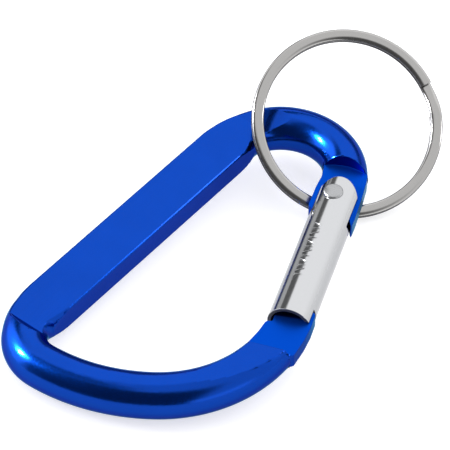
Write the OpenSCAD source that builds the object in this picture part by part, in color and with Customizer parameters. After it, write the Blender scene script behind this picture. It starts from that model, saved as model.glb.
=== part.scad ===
// Carabiner keyring: a bent rod body with a spring gate, and a split ring threaded on its narrow end.
// Millimetres. Working frame: the spine runs along +Y and ends at the origin, the gate side is +X,
// the body's mid-plane is z = 0. place() moves everything so the box's bottom centre is the origin.

/* [Body rod] */
// Rod diameter
rod_d = 7; // [5:0.1:9]
// Centreline radius of the narrow end
narrow_r = 10.17; // [9:0.01:12]
// Turn of the narrow end, degrees
narrow_turn = 158.5; // [150:0.1:165]
// Length of the straight that the gate fills
gate_line = 29.1; // [27:0.1:32]
// Centreline radius of the bend after the nose
nose_r = 20.34; // [18:0.01:24]
// Turn of the bend after the nose, degrees
nose_turn = 73.3; // [65:0.1:80]
// Centreline radius of the wide end
wide_r = 30.46; // [26:0.01:35]
// Turn of the wide end, degrees
wide_turn = 34.9; // [28:0.1:40]

/* [Pressed spine] */
// Width of the flattened spine
flat_w = 8; // [7:0.1:9]
// Thickness of the flattened spine
flat_t = 4.3; // [3.6:0.1:5.5]
// How far the flat runs past the spine at the wide end
flat_low = 2.9; // [0:0.1:4]
// How far the flat runs past the spine at the narrow end
flat_high = 3.6; // [0:0.1:5]

/* [Tongues] */
// Thickness of both tongues
tongue_t = 2.6; // [2:0.1:3.2]
// Radius of the round shoulder in front of the hinge tongue
shoulder_r = 7.8; // [7:0.1:8.5]
// Distance along the gate line to the nose shoulder
nose_step = 36.4; // [34:0.1:38]
// Thickness of the rod where it meets the nose tongue
nose_t = 4.7; // [4:0.1:6]

/* [Gate] */
// Outer diameter of the gate sleeve
gate_d = 6.9; // [6:0.05:7.5]
// Wall of the gate sleeve
gate_wall = 0.6; // [0.4:0.05:1]
// Distance along the gate line where the sleeve starts
gate_start = 0.8; // [0.5:0.05:1.5]
// Distance along the gate line where the sleeve ends
gate_end = 29.6; // [28:0.05:30]
// Width of the slots that straddle the tongues
slot_w = 3; // [2.8:0.05:3.4]

/* [Pivot] */
// Distance along the gate line to the rivet
rivet_at = 4.25; // [3.8:0.05:4.8]
// Rivet shank diameter
rivet_d = 2; // [1.6:0.05:2.4]
// Rivet head diameter
head_d = 3.1; // [2.6:0.05:3.6]
// Running clearance of the tongue bore on the rivet, on the radius
run_gap = 0.05; // [0.02:0.01:0.1]

/* [Spring and plunger] */
// Spring wire diameter
coil_wire = 0.45; // [0.3:0.05:0.6]
// Spring mean coil diameter
coil_d = 4.2; // [3.6:0.1:4.6]
// Spring turns
coil_turns = 8; // [5:1:12]
// Plunger head diameter
plunger_d = 5.2; // [4.6:0.1:5.5]
// Plunger pin diameter
pin_d = 2.4; // [1.8:0.1:3]

/* [Split ring] */
// Outer diameter of the split ring
ring_od = 30.8; // [28:0.1:34]
// Radial width of the ring wire
ring_w = 1.9; // [1.4:0.05:2.4]
// Thickness of one turn of the ring wire
ring_t = 0.83; // [0.7:0.01:1.2]
// Air between the two turns
ring_gap = 0.04; // [0.02:0.01:0.1]
// Ring centre, x
ring_x = 12.9; // [12:0.05:14]
// Ring centre, y
ring_y = 13.5; // [12:0.05:15]
// Ring centre, z
ring_z = 2.55; // [1:0.05:4]
// Tilt of the ring from the body's plane, degrees
ring_tilt = 31.8; // [20:0.1:40]
// Direction the ring tilts down to, degrees
ring_dir = -37; // [-60:0.5:-20]

/* [Hidden] */
$fn = 96;
eps = 0.01;
big = 60;
rod_r = rod_d / 2;

// Corner points of the centreline, found by walking along it.
h1 = 90 - narrow_turn;
h2 = h1 - nose_turn;
h3 = h2 - wide_turn;
function right_of(h) = [sin(h), -cos(h)];
function along(h) = [cos(h), sin(h)];
c1 = [narrow_r, 0];
p1 = c1 - narrow_r * right_of(h1);
p2 = p1 + gate_line * along(h1);
c2 = p2 + nose_r * right_of(h2 + nose_turn);
p3 = c2 - nose_r * right_of(h2);
c3 = p3 + wide_r * right_of(h2);
p4 = c3 - wide_r * right_of(h3);
corner_r = p4[0] / (1 - sin(h3));
c4 = p4 + corner_r * right_of(h3);
spine_low = c4[1];

// Half-width of the pressed spine: blend_w, inside the round rod, at its ends and flat_w / 2 along its middle.
blend_w = 2.5;
function smooth(t) = let(u = min(1, max(0, t))) u * u * (3 - 2 * u);
fade = 7.5;
function half_w(y) =
    blend_w + (flat_w / 2 - blend_w)
    * min(smooth((y - (spine_low - flat_low - 1.2)) / fade), smooth(((flat_high + 0.6) - y) / fade));
// Centreline x of the rod at height y beside the spine.
function mid_x(y) =
    y > 0 ? narrow_r - sqrt(narrow_r * narrow_r - y * y)
    : y < spine_low ? corner_r - sqrt(corner_r * corner_r - pow(y - spine_low, 2))
    : 0;
press_low = spine_low - flat_low;
press_high = flat_high;
steps = 14;
y_high = [for (i = [0 : steps]) flat_high - fade + fade * i / steps];
y_low = [for (i = [0 : steps]) press_low + 0.4 + (fade - 0.4) * i / steps];
ys = concat(y_low, y_high);
slab_out = [for (y = ys) [mid_x(y) - half_w(y), y]];
slab_in = [for (i = [len(ys) - 1 : -1 : 0]) [mid_x(ys[i]) + half_w(ys[i]), ys[i]]];

gate_r = gate_d / 2;
bore_r = gate_r - gate_wall;
rivet_lat = -0.45;
web_start = 8.2;
web_out = 8.95;
nose_slot = 26.85;
seat_at = 20.4;
plunger_at = 7.12;
head_t = 1.1;
pin_len = 11;
coil_from = plunger_at + head_t + coil_wire / 2 + 0.02;
coil_to = seat_at - 0.75 - coil_wire / 2 - 0.02;
jog = 20;
jog_at = 85;

// Box of the whole assembly, for place().
ring_r = ring_od / 2;
edge_h = ring_t + ring_gap / 2;
nx = sin(ring_tilt) * cos(ring_dir);
ny = sin(ring_tilt) * sin(ring_dir);
nz = cos(ring_tilt);
chamfer = 0.2;
function reach(n) = max(
    (ring_r - chamfer) * sqrt(1 - n * n) + edge_h * abs(n),
    ring_r * sqrt(1 - n * n) + (edge_h - chamfer) * abs(n)
);
x_lo = -flat_w / 2;
x_hi = c2[0] + nose_r + rod_r;
y_lo = c3[1] - wide_r - rod_r;
y_hi = ring_y + reach(ny);
z_lo = ring_z - reach(nz);

module place() {
    translate([-(x_lo + x_hi) / 2, -(y_lo + y_hi) / 2, -z_lo])
        children();
}

// Gate-line frame: +X along the gate toward the nose, +Y outward, origin at the narrow end's finish.
module gate_frame() {
    translate([p1[0], p1[1], 0])
        rotate([0, 0, h1])
            children();
}

module bend(c, r, from, turn, wire_r) {
    trim = 0.02 / r * 180 / PI;
    translate([c[0], c[1], 0])
        rotate([0, 0, from + trim])
            rotate_extrude(angle = turn - 2 * trim)
                translate([r, 0])
                    circle(r = wire_r);
}

// A thin collar, a hair over the rod's size, joins two lengths that meet at p with heading h.
module joint_collar(p, h, wire_r) {
    translate([p[0], p[1], 0])
        rotate([0, 90, h])
            cylinder(r = wire_r + 0.02, h = 0.3, center = true);
}

module straight_spine(wire_r) {
    translate([0, spine_low + 0.02, 0])
        rotate([-90, 0, 0])
            cylinder(r = wire_r, h = -spine_low - 0.04);
}

module round_rod() {
    bend(c1, narrow_r, 180 - narrow_turn, narrow_turn, rod_r);
    joint_collar([0, 0], 90, rod_r);
    straight_spine(rod_r);
    joint_collar([0, spine_low], 90, rod_r);
    bend(c4, corner_r, 180, h3 + 270, rod_r);
    joint_collar(p4, h3, rod_r);
    bend(c3, wide_r, h3 + 90, wide_turn, rod_r);
    joint_collar(p3, h2, rod_r);
    bend(c2, nose_r, h2 + 90, nose_turn - 5.6, rod_r);
}

// Press dies: everything they cover is removed above and below the flat.
module dies() {
    for (side = [0, 1])
        mirror([0, 0, side])
            rotate([90, 0, 90])
                translate([0, 0, -6])
                    linear_extrude(height = 11.6)
                        polygon([
                            [press_low, flat_t / 2],
                            [press_high, flat_t / 2],
                            [press_high + 4, flat_t / 2 + 2.6],
                            [press_low - 2.6, flat_t / 2 + 2.6]
                        ]);
}

module pressed_slab() {
    intersection() {
        translate([0, 0, -flat_t / 2])
            linear_extrude(height = flat_t)
                polygon(concat(slab_out, slab_in));
        union() {
            straight_spine(4.25);
            joint_collar([0, 0], 90, 4.25);
            joint_collar([0, spine_low], 90, 4.25);
            bend(c1, narrow_r, 150, 30, 4.25);
            bend(c4, corner_r, 180, 50, 4.25);
        }
    }
}

module hinge_plate() {
    translate([0, 0, -tongue_t / 2])
        linear_extrude(height = tongue_t) {
            intersection() {
                translate(c1)
                    difference() {
                        circle(r = narrow_r + 3.55);
                        circle(r = narrow_r - 3.7);
                    }
                translate(c1)
                    rotate(180 - narrow_turn)
                        polygon([[0, 0], [20, 0], [20, 10.6]]);
            }
            translate(p1)
                rotate(h1)
                    polygon([
                        [-0.05, -3.7], [2, -3.88], [6.1, -3.9], [6.45, -3.6], [6.75, -3.1],
                        [6.95, -2.4], [7, -1.6], [7, 2.8], [7.6, 3.15], [8.6, 3.62],
                        [8.55, 3.8], [7, 3.85], [2, 3.7], [-0.05, 3.55]
                    ]);
        }
}

module nose_plate() {
    translate([0, 0, -tongue_t / 2])
        linear_extrude(height = tongue_t)
            translate(p1)
                rotate(h1)
                    polygon([
                        [38, -5], [35, -4], [33, -3.45], [31.1, -3.3], [30.8, -3.05], [30.6, -2.3],
                        [27.6, -2.3], [27.2, -1.9], [27.2, 3.3], [27.6, 3.55], [30.2, 3.6],
                        [33, 3.35], [36.1, 2.75], [37, 1.6], [38, 0.5]
                    ]);
}

module nose_cut() {
    for (side = [0, 1])
        mirror([0, 0, side])
            gate_frame() {
                translate([20, -8, tongue_t / 2])
                    cube([nose_step - 20, 14, 6]);
                translate([nose_step - 1, -12, nose_t / 2])
                    rotate([0, -5.5, 0])
                        cube([14, 17, 6]);
            }
}

module shoulder_cut() {
    for (side = [0, 1])
        mirror([0, 0, side])
            gate_frame()
                translate([rivet_at, rivet_lat, tongue_t / 2])
                    cylinder(r = shoulder_r, h = 6);
}

module body() {
    color([0.02, 0.13, 0.55])
        place()
            difference() {
                union() {
                    difference() {
                        round_rod();
                        dies();
                        shoulder_cut();
                        nose_cut();
                    }
                    pressed_slab();
                    hinge_plate();
                    nose_plate();
                }
                gate_frame()
                    translate([rivet_at, rivet_lat, -5])
                        cylinder(r = rivet_d / 2 + run_gap, h = 10);
            }
}

module sleeve() {
    intersection() {
        translate([gate_start - 1, 0, 0])
            rotate([0, 90, 0])
                cylinder(r = gate_r, h = gate_end - gate_start + 1);
        union() {
            translate([rivet_at, -5, -5])
                cube([gate_end, 10, 10]);
            translate([rivet_at, 0, -5])
                cylinder(r = gate_r, h = 10);
        }
    }
}

module gate() {
    color([0.83, 0.84, 0.86])
        place()
            gate_frame()
                difference() {
                    union() {
                        difference() {
                            sleeve();
                            translate([-1, 0, 0])
                                rotate([0, 90, 0])
                                    cylinder(r = bore_r, h = gate_end + 2);
                        }
                        intersection() {
                            translate([seat_at, 0, -gate_r + 0.15])
                                sphere(r = 1.5);
                            translate([seat_at - 3, 0, 0])
                                rotate([0, 90, 0])
                                    cylinder(r = bore_r + 0.1, h = 6);
                        }
                    }
                    translate([-1, -5, -slot_w / 2])
                        cube([web_start + 1, 5, slot_w]);
                    translate([-1, -0.5, -slot_w / 2])
                        cube([web_out + 1, 5.5, slot_w]);
                    translate([nose_slot, 0, -slot_w / 2])
                        cube([5, 5, slot_w]);
                    translate([seat_at, 0, -gate_r - 0.35])
                        sphere(r = 1.1);
                    translate([rivet_at, rivet_lat, -5])
                        cylinder(r = rivet_d / 2, h = 10);
                }
}

module pivot_rivet() {
    color([0.75, 0.76, 0.78])
        place()
            gate_frame()
                translate([rivet_at, rivet_lat, 0]) {
                    translate([0, 0, -gate_r - 0.1])
                        cylinder(r = rivet_d / 2, h = 2 * gate_r + 0.2);
                    for (side = [0, 1])
                        mirror([0, 0, side])
                            difference() {
                                intersection() {
                                    translate([0, 0, gate_r - 1])
                                        cylinder(r = head_d / 2, h = 1.5);
                                    translate([0, 0, gate_r + 0.38 - 5.5])
                                        sphere(r = 5.5);
                                }
                                translate([-5, -rivet_lat, 0])
                                    rotate([0, 90, 0])
                                        cylinder(r = gate_r + 0.004, h = 10);
                            }
                }
}

module plunger() {
    color([0.62, 0.63, 0.66])
        place()
            gate_frame()
                rotate([0, 90, 0]) {
                    translate([0, 0, plunger_at])
                        cylinder(r = plunger_d / 2, h = head_t);
                    translate([0, 0, plunger_at + head_t - eps])
                        cylinder(r = pin_d / 2, h = pin_len - 0.4);
                    translate([0, 0, plunger_at + head_t + pin_len - 0.4 - 2 * eps])
                        cylinder(r1 = pin_d / 2, r2 = pin_d / 2 - 0.4, h = 0.4);
                }
}

// Points of the coil: a small ring of corners carried along a helix, closed flat at both ends.
seg = 20;
sides = 8;
turns_n = coil_turns * seg;
function rise(i) = let(t = i / turns_n) coil_from + (coil_to - coil_from) * (t - 0.045 * sin(360 * t));
function coil_point(i, k) =
    let(a = 360 * i / seg, b = 360 * k / sides, r = coil_d / 2 + coil_wire / 2 * cos(b))
    [rise(i) + coil_wire / 2 * sin(b), r * cos(a), r * sin(a)];
coil_points = [for (i = [0 : turns_n]) for (k = [0 : sides - 1]) coil_point(i, k)];
coil_walls = [
    for (i = [0 : turns_n - 1]) for (k = [0 : sides - 1])
        [i * sides + k, i * sides + (k + 1) % sides, (i + 1) * sides + (k + 1) % sides, (i + 1) * sides + k]
];
coil_ends = [
    [for (k = [sides - 1 : -1 : 0]) k],
    [for (k = [0 : sides - 1]) turns_n * sides + k]
];

module gate_spring() {
    color([0.55, 0.56, 0.58])
        place()
            gate_frame()
                polyhedron(points = coil_points, faces = concat(coil_walls, coil_ends), convexity = 10);
}

module wire_section(z0) {
    translate([ring_r - ring_w, z0])
        polygon([
            [chamfer, 0], [ring_w - chamfer, 0], [ring_w, chamfer], [ring_w, ring_t - chamfer],
            [ring_w - chamfer, ring_t], [chamfer, ring_t], [0, ring_t - chamfer], [0, chamfer]
        ]);
}

// One turn at the top, one below it, and the crossover that carries the wire from one to the other.
module split_ring() {
    step = ring_t + ring_gap;
    low = -ring_t - ring_gap / 2;
    run = ring_r * jog * PI / 180;
    color([0.72, 0.73, 0.75])
        place()
            translate([ring_x, ring_y, ring_z])
                rotate([0, 0, ring_dir])
                    rotate([0, ring_tilt, 0]) {
                        rotate([0, 0, jog_at + jog + 0.6])
                            rotate_extrude(angle = 360 - jog - 0.6)
                                wire_section(ring_gap / 2);
                        rotate([0, 0, jog_at + jog])
                            rotate_extrude(angle = 360 - jog - 0.6)
                                wire_section(low);
                        intersection() {
                            difference() {
                                translate([0, 0, -2])
                                    cylinder(r = ring_r, h = 4);
                                translate([0, 0, -3])
                                    cylinder(r = ring_r - ring_w, h = 6);
                            }
                            rotate([0, 0, jog_at + jog / 2])
                                rotate([90, 0, 90])
                                    translate([0, 0, ring_r - ring_w - 2])
                                        linear_extrude(height = ring_w + 3)
                                            polygon([
                                                [-run / 2 - 0.25, ring_gap / 2], [-run / 2 + 0.8, ring_gap / 2],
                                                [run / 2 - 1.2, low], [run / 2 + 0.25, low],
                                                [run / 2 + 0.25, low + ring_t], [run / 2 - 0.8, low + ring_t],
                                                [-run / 2 + 1.2, low + step + ring_t],
                                                [-run / 2 - 0.25, low + step + ring_t]
                                            ]);
                        }
                    }
}

body();
gate();
pivot_rivet();
plunger();
gate_spring();
split_ring();
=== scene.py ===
"""Carabiner keyring: a blue anodised rod body pressed flat along its spine, a bright spring gate and a split ring.

Pieces are modelled in millimetres in the part's working frame (the spine runs along +Y and ends
at the origin, the gate side is +X, the mid-plane is z = 0) and are then settled into the frame
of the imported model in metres.
"""

import math

import bmesh
import bpy
from bpy.props import FloatProperty, IntProperty, PointerProperty, StringProperty
from bpy.types import Operator, Panel, PropertyGroup
from mathutils import Euler, Matrix, Vector


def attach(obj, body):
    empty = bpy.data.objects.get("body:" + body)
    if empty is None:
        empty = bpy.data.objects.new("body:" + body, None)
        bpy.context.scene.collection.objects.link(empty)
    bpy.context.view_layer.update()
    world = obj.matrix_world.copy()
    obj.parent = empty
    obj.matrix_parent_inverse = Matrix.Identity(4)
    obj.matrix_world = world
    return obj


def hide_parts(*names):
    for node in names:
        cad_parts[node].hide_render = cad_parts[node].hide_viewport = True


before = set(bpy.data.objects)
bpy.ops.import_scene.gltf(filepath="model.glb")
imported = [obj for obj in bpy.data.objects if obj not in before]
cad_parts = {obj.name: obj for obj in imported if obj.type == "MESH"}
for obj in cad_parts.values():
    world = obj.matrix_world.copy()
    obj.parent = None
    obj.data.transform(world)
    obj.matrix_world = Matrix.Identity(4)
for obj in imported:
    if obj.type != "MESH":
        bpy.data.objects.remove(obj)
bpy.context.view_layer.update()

bl_info = {
    "name": "Carabiner keyring",
    "version": (1, 0, 0),
    "blender": (4, 5, 0),
    "location": "View3D > Sidebar > Carabiner",
    "description": "Models a rod carabiner with a spring gate and a split ring",
    "category": "Add Mesh",
}

MM = 0.001
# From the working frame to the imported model's frame, millimetres.
SHIFT = Vector((-15.6064, 14.2492, 6.1821))


# ---------------------------------------------------------------- sizes and colours


class BodySizes(PropertyGroup):
    rod: FloatProperty(name="Rod", description="Diameter of the body rod", default=0.007, unit="LENGTH")
    narrow: FloatProperty(
        name="Narrow bend", description="Centreline radius of the narrow end", default=0.01017, unit="LENGTH"
    )
    narrow_turn: FloatProperty(
        name="Narrow turn", description="Turn of the narrow end", default=math.radians(158.5), subtype="ANGLE"
    )
    gate_line: FloatProperty(
        name="Gate line", description="Length of the straight that the gate fills", default=0.0291, unit="LENGTH"
    )
    nose: FloatProperty(
        name="Nose bend", description="Centreline radius of the bend after the nose", default=0.02034, unit="LENGTH"
    )
    nose_turn: FloatProperty(
        name="Nose turn", description="Turn of the bend after the nose", default=math.radians(73.3), subtype="ANGLE"
    )
    wide: FloatProperty(
        name="Wide bend", description="Centreline radius of the wide end", default=0.03046, unit="LENGTH"
    )
    wide_turn: FloatProperty(
        name="Wide turn", description="Turn of the wide end", default=math.radians(34.9), subtype="ANGLE"
    )
    flat: FloatProperty(
        name="Flat", description="Thickness of the pressed spine", default=0.0043, unit="LENGTH"
    )
    spread: FloatProperty(
        name="Spine width", description="Width of the pressed spine", default=0.008, unit="LENGTH"
    )
    tongue: FloatProperty(
        name="Tongue", description="Thickness of both tongues", default=0.0026, unit="LENGTH"
    )
    sides: IntProperty(name="Rod sides", description="Corners round the rod", default=64, min=16)


class GateSizes(PropertyGroup):
    sleeve: FloatProperty(
        name="Sleeve", description="Outer diameter of the gate sleeve", default=0.0069, unit="LENGTH"
    )
    wall: FloatProperty(name="Wall", description="Wall of the gate sleeve", default=0.0006, unit="LENGTH")
    slot: FloatProperty(
        name="Slot", description="Width of the slots over the tongues", default=0.003, unit="LENGTH"
    )
    rivet_at: FloatProperty(
        name="Rivet place", description="Distance along the gate line to the rivet", default=0.00425, unit="LENGTH"
    )
    rivet: FloatProperty(
        name="Rivet", description="Diameter of the rivet shank", default=0.002, unit="LENGTH"
    )
    head: FloatProperty(
        name="Rivet head", description="Diameter of the rivet head", default=0.0031, unit="LENGTH"
    )


class RingSizes(PropertyGroup):
    across: FloatProperty(
        name="Ring", description="Outer diameter of the split ring", default=0.0308, unit="LENGTH"
    )
    wire_w: FloatProperty(
        name="Wire width", description="Radial width of the ring wire", default=0.0019, unit="LENGTH"
    )
    wire_t: FloatProperty(
        name="Wire thickness", description="Thickness of one turn of the ring wire", default=0.00083, unit="LENGTH"
    )
    gap: FloatProperty(name="Gap", description="Air between the two turns", default=0.00004, unit="LENGTH")
    tilt: FloatProperty(
        name="Tilt", description="Tilt of the ring from the body's plane", default=math.radians(31.8), subtype="ANGLE"
    )
    lean: FloatProperty(
        name="Lean", description="Direction the ring tilts down to", default=math.radians(-37), subtype="ANGLE"
    )


class Finishes(PropertyGroup):
    blue: StringProperty(name="Blue", description="Dyed anodised aluminium", default="#033797")
    bright: StringProperty(name="Bright", description="Polished gate sleeve", default="#A3A4A6")
    rivet: StringProperty(name="Rivet", description="Steel rivet", default="#8C8D8F")
    spring: StringProperty(name="Spring", description="Spring and plunger steel", default="#8F9194")
    nickel: StringProperty(name="Nickel", description="Nickel-plated split ring", default="#979695")
    floor: StringProperty(name="Floor", description="Pale studio floor", default="#CACACC")


# ---------------------------------------------------------------- the body's centreline


def heading(h):
    return Vector((math.cos(h), math.sin(h), 0))


def right_of(h):
    return Vector((math.sin(h), -math.cos(h), 0))


class Line:
    """Corner points and headings of the rod's centreline, found by walking along it."""

    def __init__(self, sizes):
        self.narrow, self.nose, self.wide = sizes.narrow / MM, sizes.nose / MM, sizes.wide / MM
        self.h1 = math.radians(90) - sizes.narrow_turn
        self.h2 = self.h1 - sizes.nose_turn
        self.h3 = self.h2 - sizes.wide_turn
        self.c1 = Vector((self.narrow, 0, 0))
        self.p1 = self.c1 - self.narrow * right_of(self.h1)
        self.p2 = self.p1 + sizes.gate_line / MM * heading(self.h1)
        self.c2 = self.p2 + self.nose * right_of(self.h1)
        self.p3 = self.c2 - self.nose * right_of(self.h2)
        self.c3 = self.p3 + self.wide * right_of(self.h2)
        self.p4 = self.c3 - self.wide * right_of(self.h3)
        self.corner = self.p4.x / (1 - math.sin(self.h3))
        self.c4 = self.p4 + self.corner * right_of(self.h3)
        self.low = self.c4.y


def gate_place(line):
    """Gate-line frame to working frame: +X along the gate toward the nose, +Y outward."""
    return Matrix.Translation(line.p1) @ Matrix.Rotation(line.h1, 4, "Z")


# ---------------------------------------------------------------- modelling helpers


def alone(obj):
    """Makes obj the only selected object and the active one."""
    if bpy.context.mode != "OBJECT":
        bpy.ops.object.mode_set(mode="OBJECT")
    bpy.ops.object.select_all(action="DESELECT")
    obj.select_set(True)
    bpy.context.view_layer.objects.active = obj


def edit(obj):
    alone(obj)
    bpy.ops.object.mode_set(mode="EDIT")


def done():
    bpy.ops.object.mode_set(mode="OBJECT")


def pick(obj, test, kind="verts"):
    """In edit mode, selects the vertices, edges or faces that pass the test, and nothing else."""
    mesh = bmesh.from_edit_mesh(obj.data)
    bpy.ops.mesh.select_all(action="DESELECT")
    bpy.ops.mesh.select_mode(type={"verts": "VERT", "edges": "EDGE", "faces": "FACE"}[kind])
    mesh = bmesh.from_edit_mesh(obj.data)
    for item in getattr(mesh, kind):
        if test(item):
            item.select_set(True)
    mesh.select_flush_mode()
    bmesh.update_edit_mesh(obj.data)


def outward():
    bpy.ops.mesh.select_all(action="SELECT")
    bpy.ops.mesh.normals_make_consistent(inside=False)


def turn_out(obj):
    """Points the faces outward again, as a mirroring place turns them in."""
    edit(obj)
    outward()
    done()


def named(name):
    """The object just added, under a name."""
    obj = bpy.context.object
    obj.name = obj.data.name = name
    return obj


def prism(name, outline, low, high, place=Matrix.Identity(4)):
    """A straight solid: a flat face with its corners pulled to the outline, extruded from low to high."""
    bpy.ops.object.select_all(action="DESELECT")
    bpy.ops.mesh.primitive_circle_add(vertices=len(outline), radius=1, fill_type="NGON", location=(0, 0, 0))
    obj = named(name)
    for vertex, (x, y) in zip(obj.data.vertices, outline):
        vertex.co = (x, y, low)
    edit(obj)
    bpy.ops.mesh.select_all(action="SELECT")
    bpy.ops.mesh.extrude_region_move(TRANSFORM_OT_translate={"value": (0, 0, high - low)})
    outward()
    done()
    obj.data.transform(place)
    return obj


def drum(name, radius, depth, place, sides=96):
    """A cylinder along its own Z, at a place."""
    bpy.ops.object.select_all(action="DESELECT")
    bpy.ops.mesh.primitive_cylinder_add(vertices=sides, radius=radius, depth=depth, location=(0, 0, 0))
    obj = named(name)
    obj.data.transform(place)
    return obj


def boolean(obj, tool, operation="DIFFERENCE"):
    """Cuts obj with the tool, or joins or trims it, and takes the tool away."""
    modifier = obj.modifiers.new("boolean", "BOOLEAN")
    modifier.object, modifier.operation, modifier.solver = tool, operation, "EXACT"
    alone(obj)
    bpy.ops.object.modifier_apply(modifier=modifier.name)
    bpy.data.objects.remove(tool)
    if not obj.data.polygons:
        raise RuntimeError(f"{obj.name}: nothing is left after the {operation.lower()}")


def tidy_mesh(obj, merge=0.004, flat=0.4):
    """Merges corners that nearly touch and clears the lines that cross flat faces."""
    edit(obj)
    bpy.ops.mesh.select_all(action="SELECT")
    bpy.ops.mesh.remove_doubles(threshold=merge)
    bpy.ops.mesh.dissolve_degenerate(threshold=merge)
    bpy.ops.mesh.select_all(action="SELECT")
    bpy.ops.mesh.dissolve_limited(angle_limit=math.radians(flat), use_dissolve_boundaries=False)
    done()


def soften(obj, width, angle=32, segments=2):
    """Rounds the hard edges and keeps the flats flat in their shading."""
    bevel = obj.modifiers.new("edges", "BEVEL")
    bevel.width, bevel.segments = width, segments
    bevel.limit_method, bevel.angle_limit = "ANGLE", math.radians(angle)
    bevel.use_clamp_overlap = False
    bevel.miter_outer = "MITER_ARC"
    alone(obj)
    bpy.ops.object.modifier_apply(modifier=bevel.name)


def smooth(obj, angle=35, facet=None):
    """Smooth shading below the angle; a facet, picked by its normal and its area in mm2, keeps a crisp edge."""
    alone(obj)
    bpy.ops.object.shade_smooth_by_angle(angle=math.radians(angle))
    if facet:
        edit(obj)
        mesh = bmesh.from_edit_mesh(obj.data)
        for edge in mesh.edges:
            if sum(facet(face) for face in edge.link_faces) == 1:
                edge.smooth = False
        bmesh.update_edit_mesh(obj.data)
        done()
    weighted = obj.modifiers.new("weights", "WEIGHTED_NORMAL")
    weighted.keep_sharp, weighted.weight = True, 80
    bpy.ops.object.modifier_apply(modifier=weighted.name)


def settle(obj):
    """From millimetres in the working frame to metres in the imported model's frame, in the mesh itself."""
    alone(obj)
    obj.location, obj.scale = SHIFT * MM, (MM, MM, MM)
    bpy.ops.object.transform_apply(location=True, rotation=True, scale=True)
    return obj


def finish_piece(obj, material, body, slot, *nodes):
    """Gives the piece its finish and body, and hides the CAD nodes it stands for."""
    obj.data.materials.clear()
    obj.data.materials.append(material)
    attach(obj, body)
    if nodes:
        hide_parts(*nodes)


# ---------------------------------------------------------------- finishes


def linear(code):
    """An sRGB hex colour as linear red, green, blue and 1."""
    parts = [int(code[i : i + 2], 16) / 255 for i in (1, 3, 5)]
    return [c / 12.92 if c <= 0.04045 else ((c + 0.055) / 1.055) ** 2.4 for c in parts] + [1]


def node(tree, kind, links=(), **settings):
    """Adds a node: settings are its properties or its sockets' values, links join an output to one of its sockets."""
    made = tree.nodes.new("ShaderNode" + kind)
    for key, value in settings.items():
        if key in made.bl_rna.properties:
            setattr(made, key, value)
        else:
            made.inputs[key.replace("_", " ")].default_value = value
    for socket, output in links:
        tree.links.new(output, made.inputs[socket])
    return made


def new_material(name):
    """An empty node material with a Principled shader, and its Object coordinates."""
    material = bpy.data.materials.new(name)
    material.use_nodes = True
    tree = material.node_tree
    shader = tree.nodes["Principled BSDF"]
    place = node(tree, "TexCoord").outputs["Object"]
    return material, tree, shader, place


EDGE_TINT = "#5CB0C8"  # keeps the dyed metal blue, not violet, where it is seen at a slant


def anodised_blue(code):
    """Dyed anodised aluminium over a drawn and pressed rod: a thin clear oxide on a coloured metal, with
    a faint orange peel and fine drawing lines, so highlights are crisp and nearly all of them are blue."""
    material, tree, shader, place = new_material("Anodised_aluminium_blue")
    shader.inputs["Metallic"].default_value = 1.0
    shader.inputs["Coat Weight"].default_value = 0.08
    shader.inputs["Specular Tint"].default_value = linear(EDGE_TINT)
    shader.inputs["Coat Roughness"].default_value = 0.11
    # Orange peel about 0.7 mm across; real peel is finer, drawn so it shows.
    peel = node(tree, "TexNoise", [("Vector", place)], Scale=1 / 0.7e-3, Detail=3.0, Roughness=0.6)
    # Drawing lines 0.2 mm apart and about 10 mm long, along the spine.
    stretched = node(tree, "Mapping", [("Vector", place)], Scale=(1 / 0.2e-3, 1 / 10e-3, 1 / 0.2e-3))
    lines = node(tree, "TexNoise", [("Vector", stretched.outputs["Vector"])], Scale=1.0, Detail=2.0)
    rough = node(
        tree, "MapRange", [("Value", lines.outputs["Fac"])],
        **{"From Min": 0.3, "From Max": 0.7, "To Min": 0.17, "To Max": 0.24},
    )
    tree.links.new(rough.outputs["Result"], shader.inputs["Roughness"])
    # The dye takes a little unevenly over patches about 6 mm across.
    patch = node(tree, "TexNoise", [("Vector", place)], Scale=1 / 6e-3, Detail=2.0)
    deep = [c * 0.86 for c in linear(code)[:3]] + [1]
    # Sockets 6 and 7 are the colours A and B, and output 2 is their mix.
    dye = node(tree, "Mix", [(0, patch.outputs["Fac"])], data_type="RGBA")
    dye.inputs[6].default_value, dye.inputs[7].default_value = deep, linear(code)
    tree.links.new(dye.outputs[2], shader.inputs["Base Color"])
    bump = node(tree, "Bump", [("Height", peel.outputs["Fac"])], Strength=0.6, Distance=0.000018)
    tree.links.new(bump.outputs["Normal"], shader.inputs["Normal"])
    return material


def milled_blue(code, h):
    """The same dyed oxide where a cutter has thinned the rod: fine straight lines and a duller shine."""
    material, tree, shader, place = new_material("Milled_anodised_aluminium_blue")
    shader.inputs["Metallic"].default_value = 1.0
    shader.inputs["Base Color"].default_value = [min(1, c * 1.08) for c in linear(code)[:3]] + [1]
    shader.inputs["Roughness"].default_value = 0.4
    shader.inputs["Specular Tint"].default_value = linear(EDGE_TINT)
    # Cutter lines 0.25 mm apart, along the gate.
    turned = node(tree, "Mapping", [("Vector", place)], vector_type="TEXTURE")
    turned.inputs["Rotation"].default_value = (0, 0, h)
    turned.inputs["Scale"].default_value = (6e-3, 0.25e-3, 1.0)
    lines = node(tree, "TexNoise", [("Vector", turned.outputs["Vector"])], Scale=1.0, Detail=2.0)
    bump = node(tree, "Bump", [("Height", lines.outputs["Fac"])], Strength=0.5, Distance=0.00002)
    tree.links.new(bump.outputs["Normal"], shader.inputs["Normal"])
    return material


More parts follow.
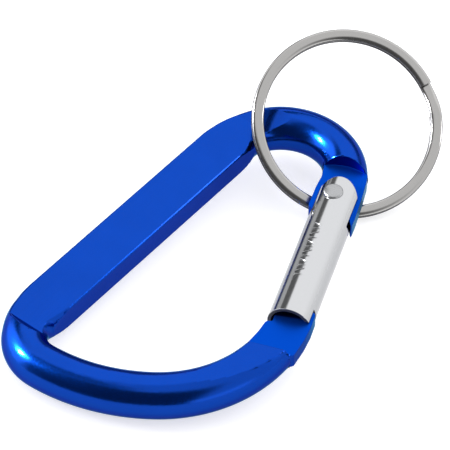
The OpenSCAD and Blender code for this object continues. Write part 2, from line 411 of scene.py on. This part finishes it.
def bright_metal(name, code, roughness, along=(1, 1, 1), bump_depth=0.000004):
    """Bright metal with fine polishing lines: near-mirror, its edges broken by lines that run one way."""
    material, tree, shader, place = new_material(name)
    shader.inputs["Metallic"].default_value = 1.0
    shader.inputs["Base Color"].default_value = linear(code)
    stretched = node(tree, "Mapping", [("Vector", place)], Scale=along)
    lines = node(tree, "TexNoise", [("Vector", stretched.outputs["Vector"])], Scale=1.0, Detail=3.0)
    rough = node(
        tree, "MapRange", [("Value", lines.outputs["Fac"])],
        **{"From Min": 0.3, "From Max": 0.7, "To Min": roughness * 0.75, "To Max": roughness * 1.3},
    )
    tree.links.new(rough.outputs["Result"], shader.inputs["Roughness"])
    bump = node(tree, "Bump", [("Height", lines.outputs["Fac"])], Strength=0.3, Distance=bump_depth)
    tree.links.new(bump.outputs["Normal"], shader.inputs["Normal"])
    return material


# A dark grey for the bore: painted shade inside the sleeve.
INSIDE_PAINTED_SHADE_GREY = "#4A4B4D"


def dull_inside_painted_shade():
    """Raw inside of the rolled sleeve: dull, and painted dark as shade, so the open end reads as a hollow."""
    material, tree, shader, place = new_material("Sleeve_inside_raw")
    shader.inputs["Metallic"].default_value = 1.0
    shader.inputs["Base Color"].default_value = linear(INSIDE_PAINTED_SHADE_GREY)
    grain = node(tree, "TexNoise", [("Vector", place)], Scale=1 / 0.3e-3, Detail=2.0)
    rough = node(tree, "MapRange", [("Value", grain.outputs["Fac"])], **{"To Min": 0.5, "To Max": 0.75})
    tree.links.new(rough.outputs["Result"], shader.inputs["Roughness"])
    return material


def matt_floor(code):
    """Plain pale paper sweep: matt, with a little glow of its own, so it renders as white."""
    material, tree, shader, place = new_material("Paper_floor_pale")
    shader.inputs["Base Color"].default_value = linear(code)
    shader.inputs["Roughness"].default_value = 0.9
    shader.inputs["Emission Color"].default_value = (1, 1, 1, 1)
    shader.inputs["Emission Strength"].default_value = 0.62
    grain = node(tree, "TexNoise", [("Vector", place)], Scale=1 / 2e-3, Detail=2.0)
    bump = node(tree, "Bump", [("Height", grain.outputs["Fac"])], Strength=0.05, Distance=0.00002)
    tree.links.new(bump.outputs["Normal"], shader.inputs["Normal"])
    return material


# ---------------------------------------------------------------- body


FLAT_LOW, FLAT_HIGH = 2.9, 4.2  # how far the pressed flat runs past the spine at each end
FADE = 7.5  # length over which the rod spreads to the spine's width
RAMP_RISE, HIGH_RUN, LOW_RUN = 2.6, 8.3, 2.6  # rise of the ramps that end the flat, and the run of each
DIE_SIDES = -7, 9  # the dies' reach across the spine, clear of the gate's side
CREASE, FACET = 0.14, 1.5  # rounding of the body's edges, and the least area of a ramp facet in mm2
GROOVE_W, GROOVE_T = 0.3, 0.14  # groove at the foot of the nose shoulder
SHOULDER = 7.8  # radius of the round shoulder in front of the hinge tongue
NOSE_STEP, NOSE_T = 36.4, 4.7  # place of the nose shoulder along the gate line, and the rod's thickness there
NARROW_END = math.radians(21.5)  # where the narrow bend ends, seen from its centre
NOSE_TRIM = math.radians(5.6)  # the nose bend stops short of the gate
RIVET_SIDE = -0.45  # rivet's offset across the gate line
# Tongue outlines in the gate-line frame, millimetres along the gate and outward.
HINGE_TONGUE = [
    (0, -3.7), (2, -3.88), (6.1, -3.9), (6.45, -3.6), (6.75, -3.1), (6.95, -2.4), (7, -1.6), (7, 2.8),
    (7.6, 3.15), (8.6, 3.62), (8.55, 3.8), (7, 3.85), (2, 3.68), (0, 3.55),
]
NOSE_TONGUE = [
    (40, -5.4), (38, -5.2), (36.4, -4.85), (35, -4.35), (33, -3.7), (31.1, -3.3), (30.8, -3.05), (30.6, -2.3),
    (27.6, -2.3), (27.2, -1.9), (27.2, 3.3), (27.6, 3.55), (30.2, 3.6), (33, 3.35), (36.1, 2.75), (37, 1.6),
    (38, 0.5), (40, -0.5),
]


def ease(t):
    t = min(1.0, max(0.0, t))
    return t * t * (3 - 2 * t)


def swept_rod(line, radius, sides):
    """A circle spun round each bend and extruded along the spine, closed at both ends."""
    bpy.ops.object.select_all(action="DESELECT")
    bpy.ops.mesh.primitive_circle_add(
        vertices=sides, radius=radius, fill_type="NOTHING", location=line.p1,
        rotation=(math.radians(90), 0, line.h1 + math.radians(90)),
    )
    rod = named("body_rod")
    bpy.ops.object.transform_apply(location=True, rotation=True, scale=True)
    edit(rod)
    bpy.ops.mesh.select_all(action="SELECT")

    def bend(centre, angle, steps):
        bpy.ops.mesh.spin(steps=steps, angle=-angle, center=centre, axis=(0, 0, 1), use_normal_flip=False)

    narrow_turn = math.pi - (math.atan2(line.p1.y, line.p1.x - line.c1.x))
    bend(line.c1, narrow_turn, 72)
    for step in spine_steps(line):
        bpy.ops.mesh.extrude_region_move(TRANSFORM_OT_translate={"value": (0, -step, 0)})
    bend(line.c4, line.h3 + math.radians(270), 48)
    bend(line.c3, line.h2 - line.h3, 40)
    bend(line.c2, line.h1 - line.h2 - NOSE_TRIM, 64)
    bpy.ops.mesh.edge_face_add()
    pick(rod, lambda e: e.is_boundary, "edges")
    bpy.ops.mesh.edge_face_add()
    bpy.ops.mesh.select_all(action="SELECT")
    bpy.ops.mesh.remove_doubles(threshold=0.001)
    outward()
    done()
    return rod


def spine_steps(line):
    """Ring spacing down the spine: close where the rod spreads, wide between."""
    ends = [0.5] * 16
    middle = (-line.low - 16) / 12
    return ends + [middle] * 12 + ends


def spread_spine(rod, line, half):
    """Spreads the rod sideways along the spine, as pressing does, and keeps it to the spine's width."""
    low, high = line.low - FLAT_LOW - 1.2, FLAT_HIGH + 0.6
    for vertex in rod.data.vertices:
        x, y, z = vertex.co
        if x > 12 or not low - 1 < y < high + 1:
            continue
        centre, radius = None, 0
        if y > 0:
            centre, radius = line.c1, line.narrow
        elif y < line.low:
            centre, radius = line.c4, line.corner
        if centre is None:
            out, base = Vector((-1, 0, 0)), Vector((0, y, 0))
            along = y
        else:
            out = Vector((x - centre.x, y - centre.y, 0)).normalized()
            base = centre + out * radius
            turn = math.atan2(abs(y - centre.y), centre.x - x) * radius
            along = turn if y > 0 else line.low - turn
        gain = 1 + 0.33 * min(ease((along - low) / FADE), ease((high - along) / FADE))
        side = (vertex.co - base).dot(out) * gain
        side = max(-half, min(half, side))
        vertex.co = base + out * side + Vector((0, 0, z))


def press_die(line, side, flat):
    """One press die: it covers all that lies above the flat, with a ramp at each end."""
    bottom, top = flat / 2, flat / 2 + RAMP_RISE
    low, high = line.low - FLAT_LOW, FLAT_HIGH
    outline = [(low, bottom), (high, bottom), (high + HIGH_RUN, top), (low - LOW_RUN, top)]
    place = Matrix(((0, 0, 1, 0), (1, 0, 0, 0), (0, side, 0, 0), (0, 0, 0, 1)))
    die = prism("die", outline, *DIE_SIDES, place)
    turn_out(die)
    return die


class CARABINER_OT_body(Operator):
    """Body: the bent rod, pressed flat along its spine, with a hinge tongue and a nose tongue."""

    bl_idname = "carabiner.body"
    bl_label = "Body"

    def execute(self, context):
        sizes, gate = context.scene.carabiner_body, context.scene.carabiner_gate
        line = Line(sizes)
        place = gate_place(line)
        flat, tongue = sizes.flat / MM, sizes.tongue / MM
        rod = swept_rod(line, sizes.rod / MM / 2, sizes.sides)
        spread_spine(rod, line, sizes.spread / MM / 2)
        for side in (1, -1):
            boolean(rod, press_die(line, side, flat))
            ramp = Matrix.Translation((NOSE_STEP - 1, 0, NOSE_T / 2)) @ Matrix.Rotation(math.radians(-5.5), 4, "Y")
            taper = prism("nose_taper", [(0, -12), (14, -12), (14, 6), (0, 6)], 0, 6, place @ ramp)
            if side < 0:
                flip(taper)
            boolean(rod, taper)
        pivot = Matrix.Translation((gate.rivet_at / MM, RIVET_SIDE, 0))
        boolean(rod, drum("shoulder", SHOULDER, 12, place @ pivot, 128))
        boolean(rod, prism("nose_step", [(18, -8), (NOSE_STEP, -8), (NOSE_STEP, 7), (18, 7)], -6, 6, place))
        boolean(rod, prism("hinge_tongue", hinge_outline(line, pivot), -tongue / 2, tongue / 2), "UNION")
        boolean(rod, prism("nose_tongue", NOSE_TONGUE, -tongue / 2, tongue / 2, place), "UNION")
        for side in (1, -1):
            back = NOSE_STEP - GROOVE_W
            foot = [(back, -4.2), (NOSE_STEP, -4.2), (NOSE_STEP, 1.9), (back, 1.9)]
            groove = prism("foot_groove", foot, tongue / 2 - GROOVE_T, 2, place)
            if side < 0:
                flip(groove)
            boolean(rod, groove)
        boolean(rod, drum("bore", gate.rivet / MM / 2 + 0.05, 10, place @ pivot, 48))
        tidy_mesh(rod)
        soften(rod, CREASE)
        smooth(rod, facet=lambda face: 0.6 < abs(face.normal.z) < 0.97 and face.calc_area() > FACET)
        settle(rod)
        rod.name = "body_bar"
        code = context.scene.carabiner_finish.blue
        finish_piece(rod, anodised_blue(code), "clip_body", "body_blue", "body")
        rod.data.materials.append(milled_blue(code, line.h1))
        for face in rod.data.polygons:
            spot = place.inverted() @ (Vector(face.center) / MM - SHIFT)
            if abs(face.normal.z) > 0.9 and abs(abs(spot.z) - tongue / 2) < 0.03 and -4 < spot.x < NOSE_STEP:
                face.material_index = 1
        return {"FINISHED"}


def hinge_outline(line, pivot):
    """Outline of the hinge tongue: down the inside of the narrow bend, round the rivet, back up the outside
    and across just behind the round shoulder."""
    place, outline = gate_place(line), []
    for k in range(25, 0, -1):
        inside = line.narrow - 3.45 - 0.2 * ease((24 - k) / 14)
        outline.append(line.c1 + heading(NARROW_END + math.radians(k)) * inside)
    outline += [place @ Vector((x, y, 0)) for x, y in HINGE_TONGUE]
    for k in range(1, 13):
        outline.append(line.c1 + heading(NARROW_END + math.radians(k)) * (line.narrow + 3.52))
    for degrees in range(156, 207, 4):
        a = math.radians(degrees)
        outline.append(place @ (pivot @ (heading(a) * (SHOULDER + 0.18))))
    return [(p.x, p.y) for p in outline]


def flip(tool):
    """Turns a cutting tool over to the other face of the body."""
    tool.data.transform(Matrix.Scale(-1, 4, (0, 0, 1)))
    turn_out(tool)


# ---------------------------------------------------------------- gate, rivet, spring, plunger


GATE_START, GATE_END = 0.8, 29.6  # ends of the sleeve along the gate line
# Where the inner and outer hinge slots end, and where the nose slot starts.
WEB_START, WEB_OUT, NOSE_SLOT = 8.2, 8.95, 26.85
# A row of plain grip strokes pressed into the inner flank: turn in degrees and length in millimetres of each.
GRIP_MARKS = [(66, 1.7), (90, 1.5), (112, 1.6), (90, 1.8)] * 3
GRIP_START, GRIP_STEP, GRIP_LEAN = 11.5, 0.98, 14  # first stroke, spacing, and lean toward the inner side in degrees
STROKE, STROKE_T = 0.1, 0.08  # half width and depth of a stroke


class CARABINER_OT_gate(Operator):
    """Gate: a rolled sleeve with rounded cheeks, slotted over both tongues, with grip strokes pressed into its inner
    flank.
    """

    bl_idname = "carabiner.gate"
    bl_label = "Gate"

    def execute(self, context):
        sizes = context.scene.carabiner_gate
        line = Line(context.scene.carabiner_body)
        radius, half, at = sizes.sleeve / MM / 2, sizes.slot / MM / 2, sizes.rivet_at / MM
        lay = Matrix.Rotation(math.radians(90), 4, "Y")
        length = GATE_END - GATE_START + 1
        centre = Matrix.Translation(((GATE_START - 1 + GATE_END) / 2, 0, 0))
        sleeve = drum("gate_sleeve", radius, length, centre @ lay, 128)
        cheeks = [(GATE_END + 1, -5), (GATE_END + 1, 5)]
        cheeks.append((at, 5))
        for degrees in range(90, 271, 3):
            a = math.radians(degrees)
            cheeks.append((at + radius * math.cos(a), radius * math.sin(a)))
        cheeks.append((at, -5))
        boolean(sleeve, prism("cheeks", cheeks, -5, 5), "INTERSECT")
        boolean(sleeve, drum("bore", radius - sizes.wall / MM, length + 4, centre @ lay, 128))
        boolean(sleeve, prism("slot_in", [(-1, -5), (WEB_START, -5), (WEB_START, 0.1), (-1, 0.1)], -half, half))
        boolean(sleeve, prism("slot_out", [(-1, -0.5), (WEB_OUT, -0.5), (WEB_OUT, 5), (-1, 5)], -half, half))
        boolean(sleeve, prism("slot_nose", [(NOSE_SLOT, 0), (33, 0), (33, 5), (NOSE_SLOT, 5)], -half, half))
        for k, (tilt, long) in enumerate(GRIP_MARKS):
            end = long / 2
            mark = prism("grip_mark", [(-end, -STROKE), (end, -STROKE), (end, STROKE), (-end, STROKE)], 0, 1)
            mark.data.transform(Matrix.Rotation(math.radians(tilt), 4, "Z"))
            lean_in = Matrix.Rotation(math.radians(GRIP_LEAN), 4, "X")
            lift = Matrix.Translation((0, 0, radius - STROKE_T))
            mark.data.transform(Matrix.Translation((GRIP_START + k * GRIP_STEP, 0, 0)) @ lean_in @ lift)
            boolean(sleeve, mark)
        tidy_mesh(sleeve)
        soften(sleeve, 0.08)
        smooth(sleeve)
        sleeve.data.transform(gate_place(line))
        settle(sleeve)
        steel = bright_metal(
            "Polished_aluminium_sleeve", context.scene.carabiner_finish.bright, 0.13,
            (1 / 0.12e-3, 1 / 1.5e-3, 1 / 0.12e-3),
        )
        sleeve.name = "gate_sleeve"
        finish_piece(sleeve, steel, "gate_arm", "gate_bright", "gate")
        # The faces inside the bore take a dark finish, which paints the shade of the hollow.
        sleeve.data.materials.append(dull_inside_painted_shade())
        back = gate_place(line).inverted()
        for face in sleeve.data.polygons:
            spot = back @ (Vector(face.center) / MM - SHIFT)
            facing = back.to_3x3() @ face.normal
            inner = math.hypot(spot.y, spot.z) < radius - sizes.wall / MM / 2
            if inner and facing.y * spot.y + facing.z * spot.z < 0:
                face.material_index = 1
        return {"FINISHED"}


class CARABINER_OT_rivet(Operator):
    """Pivot rivet: a shank with a low domed head on each side of the sleeve."""

    bl_idname = "carabiner.rivet"
    bl_label = "Pivot rivet"

    def execute(self, context):
        sizes = context.scene.carabiner_gate
        line = Line(context.scene.carabiner_body)
        radius, head = sizes.sleeve / MM / 2, sizes.head / MM / 2
        rivet = drum("pivot", sizes.rivet / MM / 2, 2 * radius + 0.2, Matrix.Identity(4), 64)
        for side in (1, -1):
            dome = domed_head(head, radius, side)
            boolean(rivet, dome, "UNION")
        tidy_mesh(rivet)
        smooth(rivet, 40)
        rivet.data.transform(gate_place(line) @ Matrix.Translation((sizes.rivet_at / MM, RIVET_SIDE, 0)))
        settle(rivet)
        rivet.name = "rivet"
        code = context.scene.carabiner_finish.rivet
        steel = bright_metal("Steel_rivet", code, 0.3, (1 / 0.2e-3,) * 3)
        finish_piece(rivet, steel, "gate_arm", "rivet_steel", "pivot_rivet")
        return {"FINISHED"}


HEAD_RISE, HEAD_BALL, HEAD_EDGE = 0.38, 6.0, 0.28  # height over the sleeve, radius of the dome and of its rim


def domed_head(head, radius, side):
    """A low dome spun from its half outline, with a rounded rim and its underside hollowed to sit on the sleeve."""
    rise = radius + HEAD_RISE
    ball, edge = HEAD_BALL, HEAD_EDGE
    outline = [(0, rise)]
    rim = head - edge
    for k in range(1, 13):
        x = rim * k / 12
        outline.append((x, rise - ball + math.sqrt(ball * ball - x * x)))
    z_rim = outline[-1][1]
    for k in range(1, 5):
        a = math.radians(90 - 22.5 * k)
        outline.append((rim + edge * math.cos(a), z_rim - edge + edge * math.sin(a)))
    outline += [(head, radius - 1), (0, radius - 1)]
    bpy.ops.object.select_all(action="DESELECT")
    bpy.ops.mesh.primitive_circle_add(vertices=len(outline), radius=1, fill_type="NOTHING", location=(0, 0, 0))
    dome = named("dome")
    for vertex, (x, z) in zip(dome.data.vertices, outline):
        vertex.co = (x, 0, z * side)
    edit(dome)
    pick(dome, lambda e: abs(e.verts[0].co.x) < 1e-6 and abs(e.verts[1].co.x) < 1e-6, "edges")
    bpy.ops.mesh.delete(type="EDGE")
    bpy.ops.mesh.select_all(action="SELECT")
    bpy.ops.mesh.spin(steps=64, angle=math.radians(360), center=(0, 0, 0), axis=(0, 0, 1))
    bpy.ops.mesh.select_all(action="SELECT")
    bpy.ops.mesh.remove_doubles(threshold=0.0005)
    outward()
    done()
    lay = Matrix.Translation((0, -RIVET_SIDE, 0)) @ Matrix.Rotation(math.radians(90), 4, "Y")
    boolean(dome, drum("seat", radius + 0.004, 10, lay, 128))
    return dome


class CARABINER_OT_spring(Operator):
    """Spring and plunger inside the sleeve: the CAD shapes are right and get their finish."""

    bl_idname = "carabiner.spring"
    bl_label = "Spring and plunger"

    def execute(self, context):
        steel = bright_metal("Spring_steel_wire", context.scene.carabiner_finish.spring, 0.3, (1 / 0.3e-3,) * 3)
        for name in ("gate_spring", "plunger"):
            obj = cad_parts[name]
            obj.data.materials.clear()
            obj.data.materials.append(steel)
        return {"FINISHED"}


# ---------------------------------------------------------------- split ring


RING_AT = Vector((12.9, 13.5, 2.55))  # centre of the ring in the working frame
WIRE_SIDES, SQUARENESS = 44, 2.5  # the wire's section: 2 is an ellipse, more is squarer
CUT_AT, CROSSOVER = math.radians(105.6), math.radians(19.4)  # where the upper turn starts, and the crossover's turn
GAP_TURN = math.radians(1.2)  # the gap at each cut end
WALL_PAINTED_SHADE_GREY, WALL = "#4C4C4E", 0.82  # the walls' darker colour, painted shade and dark reflection, and how far a face must lean from the axis to have it


class CARABINER_OT_ring(Operator):
    """Split ring: one flat wire wound two turns, with a short crossover between them."""

    bl_idname = "carabiner.ring"
    bl_label = "Split ring"

    def execute(self, context):
        sizes = context.scene.carabiner_ring
        outer, wide, thick, gap = (v / MM for v in (sizes.across / 2, sizes.wire_w, sizes.wire_t, sizes.gap))
        points = []
        for k in range(WIRE_SIDES):
            c, z = math.cos(math.tau * k / WIRE_SIDES), math.sin(math.tau * k / WIRE_SIDES)
            x = math.copysign(abs(c) ** (2 / SQUARENESS), c) * wide / 2
            z = math.copysign(abs(z) ** (2 / SQUARENESS), z) * thick / 2
            points.append((outer - wide / 2 + x, (gap + thick) / 2 + z))
        bpy.ops.object.select_all(action="DESELECT")
        bpy.ops.mesh.primitive_circle_add(vertices=len(points), radius=1, fill_type="NOTHING", location=(0, 0, 0))
        ring = named("split_ring_wire")
        for vertex, (x, z) in zip(ring.data.vertices, points):
            vertex.co = (x, 0, z)
        ring.data.transform(Matrix.Rotation(CUT_AT, 4, "Z"))
        edit(ring)
        bpy.ops.mesh.select_all(action="SELECT")
        turn = math.radians(360) - CROSSOVER - GAP_TURN
        bpy.ops.mesh.spin(steps=170, angle=-turn, center=(0, 0, 0), axis=(0, 0, 1))
        steps, drop = 20, thick + gap
        for k in range(steps):
            down = drop * (ease((k + 1) / steps) - ease(k / steps))
            bpy.ops.mesh.spin(steps=1, angle=-(CROSSOVER + GAP_TURN) / steps, center=(0, 0, 0), axis=(0, 0, 1))
            bpy.ops.transform.translate(value=(0, 0, -down))
        bpy.ops.mesh.spin(steps=170, angle=-turn, center=(0, 0, 0), axis=(0, 0, 1))
        bpy.ops.mesh.edge_face_add()
        pick(ring, lambda e: e.is_boundary, "edges")
        bpy.ops.mesh.edge_face_add()
        bpy.ops.mesh.select_all(action="SELECT")
        bpy.ops.mesh.remove_doubles(threshold=0.001)
        outward()
        done()
        soften(ring, 0.07, 60)
        smooth(ring, 50)
        turn_over = Euler((0, sizes.tilt, sizes.lean), "XYZ").to_matrix().to_4x4()
        ring.data.transform(Matrix.Translation(RING_AT) @ turn_over)
        axis = turn_over.to_3x3() @ Vector((0, 0, 1))
        settle(ring)
        ring.name = "split_ring_wire"
        code = context.scene.carabiner_finish.nickel
        nickel = bright_metal("Nickel_plated_spring_steel", code, 0.12, (1 / 0.5e-3,) * 3)
        finish_piece(ring, nickel, "key_ring", "ring_nickel", "split_ring")
        # The walls and the seam are duller than the top, and painted darker as shade and dark reflection, so the two
        # turns read as two.
        ring.data.materials.append(bright_metal("Nickel_dark_in_the_seam", WALL_PAINTED_SHADE_GREY, 0.3, (1 / 0.5e-3,) * 3))
        for face in ring.data.polygons:
            face.material_index = int(abs(face.normal.dot(axis)) < WALL)
        return {"FINISHED"}


# ---------------------------------------------------------------- stage


# The camera's axes, its place along them in millimetres, and its lens in millimetres.
CAMERA_AT, LENS = (-1.03, -12.82, 440), 220.6
# The floor leans so that the wide end and the ring both rest on it.
FLOOR_AT, FLOOR_TILT = (0, 0.0188, -0.00005), math.radians(-2.6)
RIGHT, UP, BACK = Vector((0.776, 0.631, 0)), Vector((-0.464, 0.571, 0.677)), Vector((0.427, -0.525, 0.736))


class CARABINER_OT_stage(Operator):
    """Stage: a plain pale floor, soft lights and the camera."""

    bl_idname = "carabiner.stage"
    bl_label = "Stage"

    def execute(self, context):
        scene = context.scene
        scene.view_settings.view_transform = "Standard"
        bpy.ops.object.select_all(action="DESELECT")
        bpy.ops.mesh.primitive_plane_add(size=6, location=FLOOR_AT, rotation=(FLOOR_TILT, 0, 0))
        floor = named("paper_floor")
        floor.data.materials.append(matt_floor(scene.carabiner_finish.floor))
        studio_light(scene)
        for name, azimuth, elevation, size, power in LAMPS:
            softbox(name, toward(azimuth, elevation), 0.8, size, power).visible_diffuse = False
        camera = bpy.data.objects.new("camera", bpy.data.cameras.new("camera"))
        scene.collection.objects.link(camera)
        camera.data.lens, camera.data.sensor_width = LENS, 36
        camera.data.clip_start, camera.data.clip_end = 0.01, 20
        turn = Matrix((RIGHT, UP, BACK)).transposed().to_4x4()
        spot = (CAMERA_AT[0] * RIGHT + CAMERA_AT[1] * UP + CAMERA_AT[2] * BACK + SHIFT) * MM
        camera.matrix_world = Matrix.Translation(spot) @ turn
        scene.camera = camera
        return {"FINISHED"}


def toward(azimuth, elevation):
    """A direction in degrees: azimuth 0 is the camera's side, 90 its right hand."""
    flat_back = Vector((BACK.x, BACK.y, 0)).normalized()
    a, e = math.radians(azimuth), math.radians(elevation)
    return (flat_back * math.cos(a) + RIGHT.normalized() * math.sin(a)) * math.cos(e) + Vector((0, 0, math.sin(e)))


# Soft panels round the object: azimuth, elevation, half width and half height in degrees, soft edge, brightness.
PANELS = (
    ("back_wall", 180, 38, 62, 32, 0.4, 1.95),
    ("back_low_card", 157, 1, 27, 13, 0.4, 0.45),
    ("top_left_card", -76, 67, 16, 12, 0.4, 0.45),
    ("front_card", -21, 30, 40, 36, 0.45, 0.17),
    ("right_window", 38, 2, 20, 12, 0.4, 2.2),
    ("left_window", -106, 18, 27, 33, 0.25, 3.3),
    ("gap_card", -151, 12, 12, 36, 0.5, 0.2),
    ("gap_streak", -150, 12, 13, 7, 0.5, 0.85),
)
ROOM = 1.45  # brightness of the rest of the room


# Small bright lamps that only show in the gloss: azimuth, elevation, size in metres, watts.
LAMPS = (
    ("streak_lamp", -94, 37, (0.09, 0.16), 24),
    ("edge_lamp", 88, 24, (0.06, 0.25), 0.5),
)


def studio_light(scene):
    """A soft bright room with dark cards and two windows, which give the metals their bands."""
    world = bpy.data.worlds.new("studio")
    scene.world = world
    world.use_nodes = True
    tree = world.node_tree
    looking = node(tree, "TexCoord").outputs["Generated"]
    level = node(tree, "Value")
    level.outputs[0].default_value = ROOM
    bright = level.outputs[0]
    for name, azimuth, elevation, across, up, soft, value in PANELS:
        middle = toward(azimuth, elevation)
        aside = toward(azimuth + 90, 0)
        above = middle.cross(aside) * -1
        parts = []
        for axis, half in ((aside, across), (above, up)):
            dot = node(tree, "VectorMath", [(0, looking)], operation="DOT_PRODUCT")
            dot.inputs[1].default_value = axis
            scaled = node(tree, "Math", [(0, dot.outputs["Value"])], operation="DIVIDE")
            scaled.inputs[1].default_value = math.sin(math.radians(half))
            square = node(tree, "Math", [(0, scaled.outputs[0])], operation="POWER")
            square.inputs[1].default_value = 4.0
            parts.append(square.outputs[0])
        total = node(tree, "Math", [(0, parts[0]), (1, parts[1])], operation="ADD")
        inside = node(tree, "MapRange", [("Value", total.outputs[0])], interpolation_type="SMOOTHSTEP")
        for socket, number in (("From Min", 1 - soft), ("From Max", 1 + 2 * soft), ("To Min", 1), ("To Max", 0)):
            inside.inputs[socket].default_value = number
        facing = node(tree, "VectorMath", [(0, looking)], operation="DOT_PRODUCT")
        facing.inputs[1].default_value = middle
        ahead = node(tree, "Math", [(0, facing.outputs["Value"])], operation="GREATER_THAN")
        ahead.inputs[1].default_value = 0.0
        share = node(tree, "Math", [(0, inside.outputs["Result"]), (1, ahead.outputs[0])], operation="MULTIPLY")
        mixed = node(tree, "Mix", [(0, share.outputs[0]), (2, bright)], data_type="FLOAT", label=name)
        mixed.inputs[3].default_value = value
        bright = mixed.outputs[0]
    tree.links.new(bright, tree.nodes["Background"].inputs["Strength"])
    tree.nodes["Background"].inputs["Color"].default_value = (1, 1, 1, 1)


def softbox(name, direction, distance, size, power):
    """A rectangular light that faces the object from a direction."""
    lamp = bpy.data.lights.new(name, "AREA")
    lamp.shape, lamp.size, lamp.size_y, lamp.energy = "RECTANGLE", size[0], size[1], power
    obj = bpy.data.objects.new(name, lamp)
    bpy.context.scene.collection.objects.link(obj)
    direction = Vector(direction).normalized()
    obj.location = direction * distance
    obj.rotation_euler = direction.to_track_quat("Z", "Y").to_euler()
    return obj


# ---------------------------------------------------------------- add-on


class CARABINER_PT_panel(Panel):
    bl_label = "Carabiner keyring"
    bl_space_type = "VIEW_3D"
    bl_region_type = "UI"
    bl_category = "Carabiner"

    def draw(self, context):
        for name in GROUPS:
            box = self.layout.box()
            group = getattr(context.scene, name)
            for key in group.__annotations__:
                box.prop(group, key)
        for operator in OPERATORS:
            self.layout.operator(operator.bl_idname)


GROUPS = {
    "carabiner_body": BodySizes,
    "carabiner_gate": GateSizes,
    "carabiner_ring": RingSizes,
    "carabiner_finish": Finishes,
}
OPERATORS = (
    CARABINER_OT_body,
    CARABINER_OT_gate,
    CARABINER_OT_rivet,
    CARABINER_OT_spring,
    CARABINER_OT_ring,
    CARABINER_OT_stage,
)


def register():
    for cls in (*GROUPS.values(), *OPERATORS, CARABINER_PT_panel):
        bpy.utils.register_class(cls)
    for name, group in GROUPS.items():
        setattr(bpy.types.Scene, name, PointerProperty(type=group))


def unregister():
    for name in GROUPS:
        delattr(bpy.types.Scene, name)
    for cls in (CARABINER_PT_panel, *reversed(OPERATORS), *reversed(GROUPS.values())):
        bpy.utils.unregister_class(cls)


def main():
    register()
    bpy.ops.carabiner.body()
    bpy.ops.carabiner.gate()
    bpy.ops.carabiner.rivet()
    bpy.ops.carabiner.spring()
    bpy.ops.carabiner.ring()
    bpy.ops.carabiner.stage()


if __name__ == "__main__":
    main()
